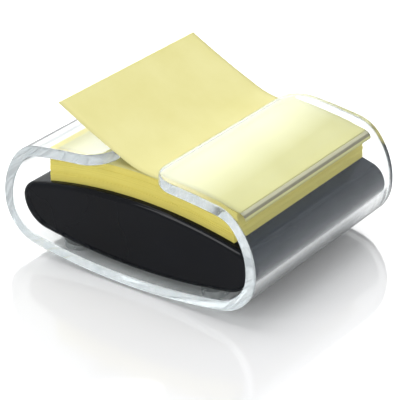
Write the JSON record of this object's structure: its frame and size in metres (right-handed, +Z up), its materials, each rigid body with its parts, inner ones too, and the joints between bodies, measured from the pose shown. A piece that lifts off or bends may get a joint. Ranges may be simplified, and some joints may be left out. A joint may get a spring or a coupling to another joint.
{
  "type": "sticky note holder with drawer",
  "caption": "Clear rounded sleeve, slotted along its top, round a black weighted drawer that slides out at the front with an arched pad of notes. A note stands up through the slot.",
  "frame": {"origin": "under the middle of the sleeve, on the surface that its feet stand on", "axes": "+X along the front panel to the viewer's right, +Y from the front to the rear along the sleeve, +Z up"},
  "size_m": [0.1034, 0.0854, 0.0562],
  "materials": {
    "sleeve": "clear, polished",
    "feet": "clear, soft",
    "drawer": "gloss",
    "cover": "matte",
    "screws": "zinc plated",
    "weight": "as rolled",
    "foam": "closed-cell foam",
    "pad": "cut edges of paper",
    "note": "matte"
  },
  "bodies": {
    "sleeve": {"clear_sleeve": "sleeve", "foot_front_left": "feet", "foot_front_right": "feet", "foot_rear_left": "feet", "foot_rear_right": "feet"},
    "drawer": {"drawer_shell": "drawer", "bottom_cover": "cover", "cover_screws": "screws", "steel_weight": "weight", "weight_foam": "foam", "note_pad": "pad", "next_note": "note", "popped_note_tail": "note"},
    "popped_flap": {"popped_note_flap": "note"}
  },
  "joints": [
    {"name": "drawer_slide", "type": "slide", "parent": "sleeve", "child": "drawer", "axis": [0, -1, 0], "range_m": [0, 0.085]},
    {"name": "flap_bend", "type": "hinge", "parent": "drawer", "child": "popped_flap", "pos_m": [0.00698, 0.0024, 0.03983], "axis": [0, 1, 0], "range_deg": [0, 60]}
  ]
}
